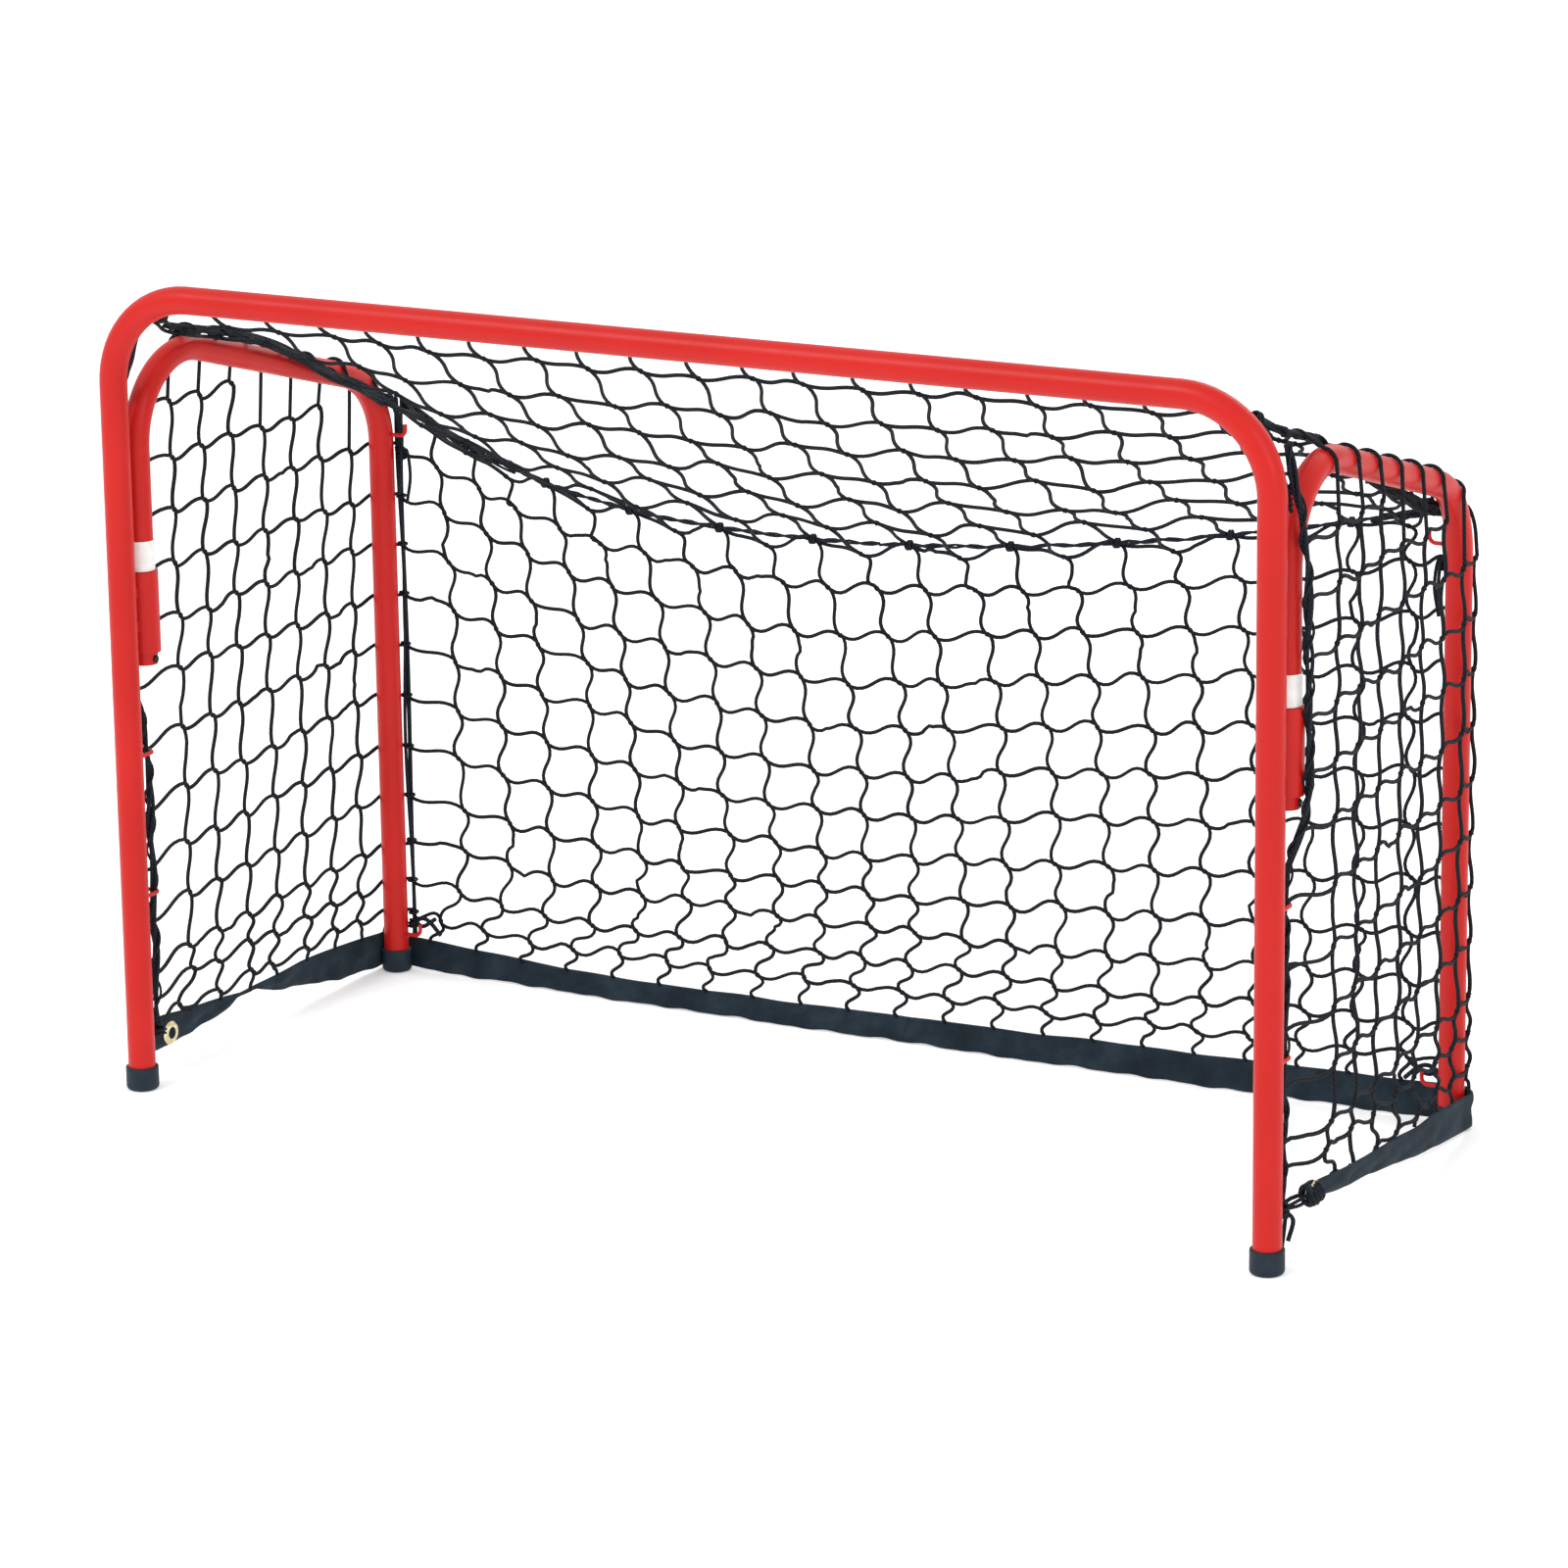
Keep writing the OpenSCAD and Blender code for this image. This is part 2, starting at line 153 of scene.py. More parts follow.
def mesh_piece(name, points, faces, uvs, finish):
    """A smooth mesh from points in millimetres, with its finish, linked into the scene."""
    mesh = bpy.data.meshes.new(name)
    mesh.from_pydata((points * 0.001).tolist(), [], faces)
    layer = mesh.uv_layers.new(name="UVMap")
    layer.data.foreach_set("uv", np.array(uvs, np.float32).ravel())
    mesh.polygons.foreach_set("use_smooth", [True] * len(mesh.polygons))
    mesh.materials.append(finish)
    mesh.update()
    piece = bpy.data.objects.new(name, mesh)
    bpy.context.collection.objects.link(piece)
    return piece


def run_length(points):
    """Distance along a polyline to each of its points."""
    steps = np.linalg.norm(np.diff(points, axis=0), axis=1)
    return np.concatenate([[0], np.cumsum(steps)])


class Cords:
    """Collects tubes along polylines and makes one mesh of them."""

    def __init__(self):
        self.verts, self.faces, self.uvs, self.count = [], [], [], 0

    def tube(self, points, radius, sides=7):
        p = np.asarray(points, float)
        n = len(p)
        r = np.broadcast_to(np.asarray(radius, float), (n,))
        tangent = unit(np.vstack([p[1] - p[0], p[2:] - p[:-2], p[-1] - p[-2]]))
        start = np.cross(tangent[0], [0.31, 0.17, 0.93])
        if np.linalg.norm(start) < 0.2:
            start = np.cross(tangent[0], [0.9, 0.4, 0.1])
        normals = [unit(start)]
        for k in range(1, n):
            m = normals[-1] - tangent[k] * float(normals[-1] @ tangent[k])
            normals.append(m / max(np.linalg.norm(m), 1e-9))
        side = np.array(normals)
        other = np.cross(tangent, side)
        a = np.arange(sides) * 2 * math.pi / sides
        round_it = (side[:, None] * np.cos(a)[None, :, None]
                    + other[:, None] * np.sin(a)[None, :, None])
        self.verts.append((p[:, None] + r[:, None, None] * round_it).reshape(-1, 3))
        self.join(n, sides, run_length(p))

    def join(self, n, sides, along):
        """Faces and UVs of a tube of n rings: its wall, then its two ends."""
        base = self.count
        self.count += n * sides
        for k in range(n - 1):
            here, there = base + k * sides, base + (k + 1) * sides
            v1, v2 = along[k], along[k + 1]
            for i in range(sides):
                j = (i + 1) % sides
                self.faces.append((here + i, here + j, there + j, there + i))
                u1, u2 = i / sides, (i + 1) / sides
                self.uvs.extend([(u1, v1), (u2, v1), (u2, v2), (u1, v2)])
        for end, order in ((0, range(sides - 1, -1, -1)), (n - 1, range(sides))):
            self.faces.append(tuple(base + end * sides + i for i in order))
            self.uvs.extend([(i / sides, along[end]) for i in order])

    def build(self, name, finish):
        return mesh_piece(name, np.vstack(self.verts), self.faces, self.uvs, finish)


def cubic(p0, t0, p1, t1, h, t):
    """A cubic curve at t, from p0 along t0 to p1 along t1, with handles of length h."""
    a, b = p0 + t0 * h, p1 - t1 * h
    return ((1 - t) ** 3 * p0 + 3 * (1 - t) ** 2 * t * a + 3 * (1 - t) * t ** 2 * b + t ** 3 * p1)


def of_length(curve, length, lo, hi):
    """The curve(m) of that length, with m between lo and hi."""
    for _ in range(12):
        m = (lo + hi) / 2
        if np.linalg.norm(np.diff(curve(m), axis=0), axis=1).sum() < length:
            lo = m
        else:
            hi = m
    return curve(m)


def bezier(p0, t0, p1, t1, length):
    """One strand from p0 to p1, leaving along t0 and arriving along t1, of that length."""
    span = np.linalg.norm(p1 - p0)
    t = np.linspace(0, 1, 9)[:, None]
    return of_length(lambda h: cubic(p0, t0, p1, t1, h, t), length, 0.15 * span, 0.9 * max(span, length))


def sway(p0, p1, side, length, tilt):
    """One S-shaped strand of that length: it leaves p0 and arrives at p1 leaning towards side."""
    chord = p1 - p0
    span = np.linalg.norm(chord)
    go = chord / span
    lateral = unit(side - go * float(side @ go))
    t = np.linspace(0, 1, 10)[:, None]

    def curve(m):
        t0, t1 = (go * math.cos(1.3 * m * k) + lateral * math.sin(1.3 * m * k) for k in tilt)
        return cubic(p0, t0, p1, t1, span * (0.34 + 0.26 * m), t)

    return of_length(curve, length, 0.0, 1.0)


class Knots:
    """Knots of a square-hung net. Each is a short slanted bar: strands come in at its upper
    left end and leave at its lower right end, so the strands between knots are S-shaped."""

    def __init__(self, cords, seed, thick=CORD):
        self.cords, self.rng, self.at = cords, np.random.default_rng(seed), {}
        self.thick = thick

    def add(self, key, place, right, down, size, drawn=True):
        turn = self.rng.uniform(-0.32, 0.32)
        right = unit(right)
        down = unit(unit(down) - right * float(unit(down) @ right) * 0.5)
        d = unit(right * math.cos(math.pi / 4 + turn) + down * math.sin(math.pi / 4 + turn))
        size = size * self.rng.uniform(0.82, 1.15)
        self.at[key] = (place, d, size, right, down)
        if drawn:
            self.knot(place, d, size, np.cross(right, down))

    def knot(self, place, d, size, out):
        k = np.linspace(-1, 1, 7)
        core = place + d * (k * (size + 1.3))[:, None]
        self.cords.tube(core, 1.15 + 0.45 * np.sqrt(np.clip(1 - k ** 2, 0, 1)))
        side = unit(np.cross(out, d))
        out = unit(np.cross(d, side))
        a = np.linspace(0, 2.6 * math.pi, 15) + self.rng.uniform(0, 6)
        wrap = (place + d * np.linspace(-0.36, 0.36, 15)[:, None] * size
                + (side * np.cos(a)[:, None] + out * np.sin(a)[:, None]) * 1.3)
        self.cords.tube(wrap, 0.85, 5)

    def leg(self, first, second, length, swing=1.0):
        """The strand between two knots, of that length where there is room for it."""
        p, d, size, right, down = self.at[first]
        q, d2, size2, *_ = self.at[second]
        start, end = p + d * size, q - d2 * size2
        span = np.linalg.norm(end - start)
        least = 1.008 + self.rng.uniform(0, 0.022) * swing
        most = 1.025 + self.rng.uniform(0, 0.05) + 0.36 * float(np.clip((29 - span) / 15, 0, 1))
        length = float(np.clip(length - size - size2 + 3, span * least, span * most))
        line = sway(start, end, unit(d + d2), length, self.rng.uniform(0.75, 1.15, 2))
        out = unit(np.cross(right, down))
        t = np.linspace(0, 1, len(line))
        bow = np.sin(math.pi * t) * self.rng.normal(0, 0.5)
        line = line + out * bow[:, None] * 1.5
        if self.rng.uniform() < 0.16:
            where, lean = self.rng.uniform(0.3, 0.7), self.rng.normal(0, 1.6)
            kink = np.exp(-((t - where) / 0.11) ** 2) * np.sin(math.pi * t)
            side = unit(np.cross(out, q - p))
            line = line + side * (kink * lean)[:, None]
        self.cords.tube(line, self.thick * self.rng.uniform(0.94, 1.06))


def rope(cords, points, radius, strands, pitch, seed, loose=0.5, lace=None):
    """A bundle of strands that wander round one line, with a lacing cord round it if lace is given."""
    r = np.random.default_rng(seed)
    p = np.asarray(points, float)
    along = run_length(p)
    n = max(8, int(along[-1] / 6))
    t = np.linspace(0, along[-1], n)
    line = np.stack([np.interp(t, along, p[:, k]) for k in range(3)], -1)
    for _ in range(2):
        line[1:-1] = (line[:-2] + 2 * line[1:-1] + line[2:]) / 4
    tangent = unit(np.gradient(line, axis=0))
    side = unit(np.cross(tangent, [0.2, 0.5, 0.84]))
    other = np.cross(tangent, side)
    for k in range(strands):
        a = (2 * math.pi * k / strands + 2 * math.pi * t / pitch
             + 0.8 * np.sin(t / r.uniform(25, 45) + r.uniform(0, 6)))
        far = radius * (0.62 + loose * 0.35 * np.sin(t / r.uniform(15, 30) + r.uniform(0, 6)))
        strand = line + (side * np.cos(a)[:, None] + other * np.sin(a)[:, None]) * far[:, None]
        thick = radius * 0.6 * (1 + 0.12 * np.sin(t / 9 + r.uniform(0, 6)))
        cords.tube(strand, thick)
    if lace:
        tt = np.linspace(0, along[-1], int(along[-1] / lace * 14))
        a = 2 * math.pi * tt / lace + 0.5 * np.sin(tt / 31)
        centre, u, v = (np.stack([np.interp(tt, t, w[:, k]) for k in range(3)], -1)
                        for w in (line, side, other))
        cords.tube(centre + (u * np.cos(a)[:, None] + v * np.sin(a)[:, None]) * radius * 1.35, 1.0, 6)


def ring(cords, centre, axis, radius, thick, turns=2.0, rise=2.4):
    """A few turns of cord wound round a rope or tube."""
    axis = unit(np.asarray(axis, float))
    side = np.cross(axis, [0.35, 0.2, 0.9])
    if np.linalg.norm(side) < 0.2:
        side = np.cross(axis, [1, 0, 0])
    side = unit(side)
    other = np.cross(axis, side)
    a = np.linspace(0, 2 * math.pi * turns, int(18 * turns))
    p = (np.asarray(centre, float) + (side * np.cos(a)[:, None] + other * np.sin(a)[:, None]) * radius
         + axis * ((a / (2 * math.pi) - turns / 2) * rise)[:, None])
    cords.tube(p, thick, 6)


def curve_through(points, steps=10):
    """A smooth line through a few points."""
    p = np.asarray(points, float)
    p = np.vstack([2 * p[0] - p[1], p, 2 * p[-1] - p[-2]])
    out = []
    for k in range(1, len(p) - 2):
        t = np.linspace(0, 1, steps, endpoint=False)[:, None]
        a, b, c, d = p[k - 1], p[k], p[k + 1], p[k + 2]
        out.append(0.5 * (2 * b + (c - a) * t + (2 * a - 5 * b + 4 * c - d) * t ** 2
                          + (3 * b - a - 3 * c + d) * t ** 3))
    out.append(p[-2:-1])
    return np.vstack(out)


# ---------- materials ----------

def material(name, base, rough, metal=0.0, **more):
    m = bpy.data.materials.new(name)
    m.use_nodes = True
    nodes, links = m.node_tree.nodes, m.node_tree.links
    shader = nodes["Principled BSDF"]
    shader.inputs["Base Color"].default_value = (*base, 1)
    shader.inputs["Roughness"].default_value = rough
    shader.inputs["Metallic"].default_value = metal
    for key, value in more.items():
        shader.inputs[key.replace("_", " ")].default_value = value
    return m, nodes, links, shader


def noise(nodes, links, scale, detail, rough=0.5):
    coords = nodes.new("ShaderNodeTexCoord")
    n = nodes.new("ShaderNodeTexNoise")
    n.inputs["Scale"].default_value = scale
    n.inputs["Detail"].default_value = detail
    n.inputs["Roughness"].default_value = rough
    links.new(coords.outputs["Object"], n.inputs["Vector"])
    return n


def ramp(nodes, links, source, stops):
    r = nodes.new("ShaderNodeValToRGB")
    while len(r.color_ramp.elements) < len(stops):
        r.color_ramp.elements.new(0.5)
    for e, (at, colour) in zip(r.color_ramp.elements, stops):
        e.position = at
        e.color = (*colour, 1) if len(colour) == 3 else (colour[0],) * 3 + (1,)
    links.new(source, r.inputs["Fac"])
    return r.outputs["Color"]


def bump(nodes, links, shader, height, strength, distance):
    b = nodes.new("ShaderNodeBump")
    b.inputs["Strength"].default_value = strength
    b.inputs["Distance"].default_value = distance
    links.new(height, b.inputs["Height"])
    links.new(b.outputs["Normal"], shader.inputs["Normal"])


def vary(nodes, links, shader, socket, scale, detail, stops, rough=0.5):
    """Makes one shader input change from place to place, through a noise and a ramp."""
    source = noise(nodes, links, scale, detail, rough)
    links.new(ramp(nodes, links, source.outputs["Fac"], stops), shader.inputs[socket])


def powder_red():
    m, nodes, links, shader = material("powder_coat_red", (0.50, 0.010, 0.007), 0.42,
                                       Specular_IOR_Level=0.2, Coat_Weight=0.05, Coat_Roughness=0.15)
    vary(nodes, links, shader, "Base Color", 9, 2,
         [(0.3, (0.47, 0.009, 0.006)), (0.7, (0.54, 0.012, 0.009))])
    vary(nodes, links, shader, "Roughness", 42, 4, [(0.3, (0.36,)), (0.75, (0.48,))])
    peel = noise(nodes, links, 620, 2)
    bump(nodes, links, shader, peel.outputs["Fac"], 0.16, 0.0003)
    return m


def moulded_black():
    m, nodes, links, shader = material("moulded_black", (0.016, 0.026, 0.036), 0.48,
                                       Specular_IOR_Level=0.16)
    vary(nodes, links, shader, "Base Color", 60, 4,
         [(0.3, (0.009, 0.017, 0.026)), (0.72, (0.018, 0.030, 0.042))])
    vary(nodes, links, shader, "Roughness", 180, 6, [(0.35, (0.40,)), (0.7, (0.62,))])
    grain = noise(nodes, links, 1500, 2)
    bump(nodes, links, shader, grain.outputs["Fac"], 0.22, 0.0002)
    return m


def twine(name, shaded_groove, light):
    """Twisted twine: strand ridges that wind round the cord, from the tube's own UVs in millimetres. Its
    colour is painted shade in the grooves between strands and a painted highlight on their crests.
    """
    m, nodes, links, shader = material(name, shaded_groove, 0.8, Specular_IOR_Level=0.25)
    uv = nodes.new("ShaderNodeTexCoord")
    split = nodes.new("ShaderNodeSeparateXYZ")
    links.new(uv.outputs["UV"], split.inputs["Vector"])

    def calc(operation, a, b):
        node = nodes.new("ShaderNodeMath")
        node.operation = operation
        for socket, value in zip(node.inputs, (a, b)):
            if isinstance(value, (int, float)):
                socket.default_value = value
            else:
                links.new(value, socket)
        return node.outputs[0]

    turn = calc("MULTIPLY", split.outputs["X"], 3 * 2 * math.pi)
    lay = calc("MULTIPLY", split.outputs["Y"], 1.6)
    ridge = calc("SINE", calc("ADD", turn, lay), 0.0)
    ridge = calc("MULTIPLY_ADD", ridge, 0.5)
    ridge.node.inputs[2].default_value = 0.5
    fibre = noise(nodes, links, 2600, 3)
    height = calc("ADD", ridge, calc("MULTIPLY", fibre.outputs["Fac"], 0.5))
    # Colour follows the ridge: painted shade in the grooves, painted highlight on the crests.
    links.new(ramp(nodes, links, ridge, [(0.05, shaded_groove), (0.95, light)]), shader.inputs["Base Color"])
    bump(nodes, links, shader, height, 0.55, 0.0006)
    return m


def hem_cloth():
    """Woven polyester tape: a fine weave, creases and a soft worn tone."""
    m, nodes, links, shader = material("hem_cloth", (0.020, 0.032, 0.044), 0.78,
                                       Specular_IOR_Level=0.14, Sheen_Weight=0.06,
                                       Sheen_Roughness=0.45)
    shader.inputs["Sheen Tint"].default_value = (0.55, 0.68, 0.80, 1)
    coords = nodes.new("ShaderNodeTexCoord")
    weave = []
    for direction in ("X", "Y"):
        w = nodes.new("ShaderNodeTexWave")
        w.wave_type, w.bands_direction = "BANDS", direction
        w.inputs["Scale"].default_value = 0.42
        w.inputs["Distortion"].default_value = 0.35
        links.new(coords.outputs["UV"], w.inputs["Vector"])
        weave.append(w.outputs["Fac"])
    mix = nodes.new("ShaderNodeMath")
    mix.operation = "MAXIMUM"
    links.new(weave[0], mix.inputs[0])
    links.new(weave[1], mix.inputs[1])
    vary(nodes, links, shader, "Base Color", 34, 5,
         [(0.28, (0.006, 0.011, 0.017)), (0.5, (0.012, 0.022, 0.032)), (0.76, (0.026, 0.042, 0.058))],
         rough=0.6)
    creases = noise(nodes, links, 60, 4)
    add = nodes.new("ShaderNodeMath")
    add.operation = "MULTIPLY_ADD"
    links.new(creases.outputs["Fac"], add.inputs[0])
    add.inputs[1].default_value = 3.0
    links.new(mix.outputs[0], add.inputs[2])
    bump(nodes, links, shader, add.outputs[0], 0.5, 0.0006)
    return m


def brass():
    m, nodes, links, shader = material("brass", (0.78, 0.68, 0.44), 0.3, 1.0)
    vary(nodes, links, shader, "Base Color", 220, 4,
         [(0.35, (0.62, 0.52, 0.30)), (0.65, (0.86, 0.78, 0.54))])
    vary(nodes, links, shader, "Roughness", 500, 3, [(0.3, (0.22,)), (0.7, (0.45,))])
    return m


def black_steel():
    m, nodes, links, shader = material("black_steel", (0.014, 0.014, 0.016), 0.4, 0.6)
    vary(nodes, links, shader, "Roughness", 400, 4, [(0.3, (0.3,)), (0.7, (0.55,))])
    return m


def white_tape():
    m, nodes, links, shader = material("white_tape", (0.80, 0.80, 0.78), 0.36,
                                       Coat_Weight=0.3, Coat_Roughness=0.2)
    vary(nodes, links, shader, "Base Color", 130, 4,
         [(0.3, (0.74, 0.74, 0.72)), (0.7, (0.85, 0.85, 0.83))])
    wrinkle = noise(nodes, links, 240, 3)
    bump(nodes, links, shader, wrinkle.outputs["Fac"], 0.2, 0.0004)
    return m


# The two colours given to each twine, here and for the seam rope, are its painted groove shade and its
# painted crest highlight.
FINISH = {
    "red_powder_coat": powder_red(), "black_plastic": moulded_black(), "brass": brass(),
    "net_cord": twine("net_twine", (0.0012, 0.0020, 0.0042), (0.0060, 0.0095, 0.0160)),
    "hem_fabric": hem_cloth(), "black_steel": black_steel(), "white_tape": white_tape(),
}
ROPE = twine("seam_rope", (0.0018, 0.0032, 0.0060), (0.0100, 0.0165, 0.0260))

by_slot = {
    "red_powder_coat": ["front_frame", "hinge_sleeve", "sleeve_tabs", "side_frame", "post_hooks",
                        "leg_hooks", "crossbar_hooks"],
    "black_plastic": ["foot_front", "foot_rear"], "black_steel": ["retaining_pin"],
    "white_tape": ["marking_band"], "brass": ["grommet"],
}
for slot, names in by_slot.items():
    for node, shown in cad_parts.items():
        if node.rsplit("_left", 1)[0].rsplit("_right", 1)[0] in names:
            shown.data.materials.clear()
            shown.data.materials.append(FINISH[slot])


# ---------- top and rear net: one sheet, from the crossbar over the rear rope to the hem ----------

TOP_ROWS, BACK_ROWS, COLS = 7, 12, 23
LAST = COLS - 1
HALF = COLS // 2


def crossbar_line(x):
    """Height of the crossbar's centreline, which bends down at the front frame's corners."""
    drop = np.clip(np.abs(x) - CORNER_X, 0, 60)
    return BAR_Z - CORNER_R + np.sqrt(CORNER_R ** 2 - drop ** 2)


def hem_rise(x):
    """Height of the rear hem's upper edge, which leans back more left of the middle."""
    return np.interp(x, [-450, -400, -300, -200, 0, 150, 300, 450],
                     [24, 22, 15.5, 14.5, 17.5, 21, 24, 28])


def rear_net():
    """Knots by row and column, row 0 at the crossbar, row TOP_ROWS on the rope, the last in the hem."""
    place = np.zeros((TOP_ROWS + BACK_ROWS + 1, COLS, 3))
    inner = np.arange(1, LAST)
    front_x = 43.2 * (inner - LAST / 2)
    front = np.stack([front_x, np.full(len(inner), POST[1] + 17.0), crossbar_line(front_x)], -1)
    # Columns hang straight down the middle of the rear net and lean left towards rope and hem.
    upright = -384 + 39.25 * (inner - 1)
    off_middle = np.where(upright < -60, (-60 - upright) / 370, (upright + 60) / 400)
    lean = 46 * np.clip(1 - 0.7 * off_middle ** 2.5, 0.1, 1)
    bow = forward_pull(upright)
    side = smooth(np.abs(upright + 70) / 250)
    on_rope = rope_place(upright - lean + 0.55 * bow)
    lashed = inner % 2 == 0
    lashed[0] = True
    for r in range(BACK_ROWS + 1):
        t = r / BACK_ROWS
        share = (t + side * 0.064 * math.sin(math.pi * t ** 2.2)
                 + (1 - side) * 0.075 * math.sin(math.pi * t ** 1.2))
        left = lean * math.exp(-r / 3) + 24 * float(smooth((r - 9.3) / 2.5)) * (0.75 - upright / 650)
        x = upright - left + 0.55 * bow * (1 - share)
        z = on_rope[:, 2] * (1 - share) + (hem_rise(upright) - 1.5) * share
        y = on_rope[:, 1] * (1 - share) + REAR_Y * share
        row = np.stack([x, y, z], -1)
        if r == 0:
            row[:, 2] -= np.where(lashed, 0, 8.5)
        elif r < BACK_ROWS:
            row[:, ::2] += rng.normal(0, 1.1, row[:, ::2].shape)
            row[:, 1] += rng.normal(0, 1.5, len(row)) - (3.0 if r > 9 else 0)
        place[TOP_ROWS + r, 1:LAST] = row
    rope_row = place[TOP_ROWS, 1:LAST]
    for r in range(TOP_ROWS):
        t = r / TOP_ROWS
        row = front * (1 - t) + rope_row * t
        row[:, 0] -= 10 * math.sin(math.pi * t)
        row[:, 1] -= 5 * math.sin(math.pi * t)
        row[:, 2] -= 8 * math.sin(math.pi * t)
        if r:
            row += rng.normal(0, 1.2, row.shape)
        place[r, 1:LAST] = row
    for col, side in ((0, "left"), (LAST, "right")):
        for r in range(TOP_ROWS + 1):
            s = 8 + 288 * r / TOP_ROWS
            place[r, col] = from_side(side, NET_SEAM_U, s, seam_height(side, s))
            for step, pull in ((1, 0.9), (2, 0.5), (3, 0.2)):
                near = place[r, abs(col - step)]
                if r < TOP_ROWS:
                    lift = seam_height(side, near[1] - HINGE[1]) + 2 - near[2]
                    near[2] += max(0.0, float(lift)) * pull * math.sin(math.pi * r / TOP_ROWS)
        for r in range(1, BACK_ROWS + 1):
            t = r / BACK_ROWS
            share = t + 0.064 * math.sin(math.pi * t ** 2.2)
            place[TOP_ROWS + r, col] = from_side(side, -10, DEPTH + 9, 448 * (1 - share) + 24 * share)
    return place, np.concatenate([[True], lashed, [True]])


grid, lashed = rear_net()
ROWS = grid.shape[0]


def net_part(wanted_leg, wanted_knot, seed):
    """The strands and knots of one quarter of the sheet, as chosen by the two tests."""
    cords = Cords()
    knots = Knots(cords, seed)
    for r in range(ROWS):
        for c in range(COLS):
            right = grid[r, min(c + 1, LAST)] - grid[r, max(c - 1, 0)]
            down = grid[min(r + 1, ROWS - 1), c] - grid[max(r - 1, 0), c]
            inner = 0 < r < ROWS - 1 and 0 < c < LAST
            size = 2.5 if inner else 0.6
            knots.add((r, c), grid[r, c], right, down, size, inner and wanted_knot(r, c))
    for r in range(1, ROWS - 1):
        for c in range(LAST):
            if wanted_leg(r, c, True):
                knots.leg((r, c), (r, c + 1), MESH)
    for r in range(ROWS - 1):
        for c in range(1, LAST):
            if wanted_leg(r, c, False):
                knots.leg((r, c), (r + 1, c), MESH)
    return cords


def quarter_tests(left, top):
    """Tests for the strands and the knots of one quarter: left or right, top or rear."""
    def leg(r, c, across):
        on_top = r <= TOP_ROWS if across else r < TOP_ROWS
        return (c < HALF) == left and on_top == top

    def knot(r, c):
        return (c < HALF) == left and (r <= TOP_ROWS) == top
    return leg, knot


def fold_with(piece, weigh):
    """Bakes a piece's transform into its mesh and reckons, with weigh, how far each point would follow a
    side frame; nothing uses these weights.
    """
    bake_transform(piece)
    co = np.zeros(len(piece.data.vertices) * 3, np.float32)
    piece.data.vertices.foreach_get("co", co)
    w = weigh(co.reshape(-1, 3) * 1000.0)


def rear_weight(p):
    """The rear net, rope and hem: nothing in the middle, all of it at the rear legs."""
    return smooth(np.abs(p[:, 0]) / 400)


def top_weight(p):
    """Round the hinge the net spreads like a fan, from the crossbar to the side frame."""
    dx = np.maximum(abs(HINGE[0]) - np.abs(p[:, 0]), -20)
    dy = p[:, 1] - HINGE[1]
    fan = np.arctan2(np.maximum(dy, 0), np.maximum(dx, 0.1)) / math.radians(88)
    return np.clip(fan, 0, 1) * smooth(np.abs(p[:, 0]) / 260)


for side in SIDES:
    for part, top in (("top", True), ("rear", False)):
        name = f"net_{part}_{side}_half"
        leg, knot = quarter_tests(side == "left", top)
        piece = net_part(leg, knot, 7 if top else 19).build(name, FINISH["net_cord"])
        fold_with(piece, top_weight if top else rear_weight)
        if side == "left":
            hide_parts("net_top" if top else "net_back")


# ---------- side nets ----------

SIDE_ROWS = 13
# Rows that reach the rear leg, and the length of a strand: between most knots, and up the low rows.
LEG_ROWS = 11
SHORT, LOOSE = 20, 36
# How far outside the frame's plane the net hangs, and where its last column lies on the leg.
NET_U = 12.4
LEG_U, LEG_S = 8.8, DEPTH + 8.4
# Radius of a cord's path over the bar.
WRAP_R = 11.0


def side_height(row, s):
    """Height of a side net's row: two loose rows low down, then every 39.6 mm, lower in front."""
    back = (45.0, 70.0)[row] if row < 2 else 98 + 39.6 * (row - 2)
    drop = 16 * (1 - smooth((back - 190) / 110)) * (1 if row > 1 else 0.4)
    return float(back - drop * (1 - s / DEPTH))


def over_bar(side, s, place, d, size):
    """A cord from a column's highest knot over the bar to the seam rope inside it."""
    z, (ns, nz) = bar_point(s)
    over = [from_side(side, WRAP_R * math.cos(a), s + WRAP_R * ns * math.sin(a),
                      z + WRAP_R * nz * math.sin(a))
            for a in np.linspace(0.0, math.pi * 0.9, 9)]
    end = from_side(side, NET_SEAM_U, s + 2, float(seam_height(side, max(s, 30))))
    while len(over) > 5 and over[-1][2] < end[2] - 1:
        over.pop()
    if end[2] < over[-1][2] - 12:
        over.append(from_side(side, -12.5, s + 1, (end[2] + over[-1][2]) / 2))
    start = place - d * size
    return curve_through([start, start * 0.4 + over[0] * 0.6] + over + [end], 3)


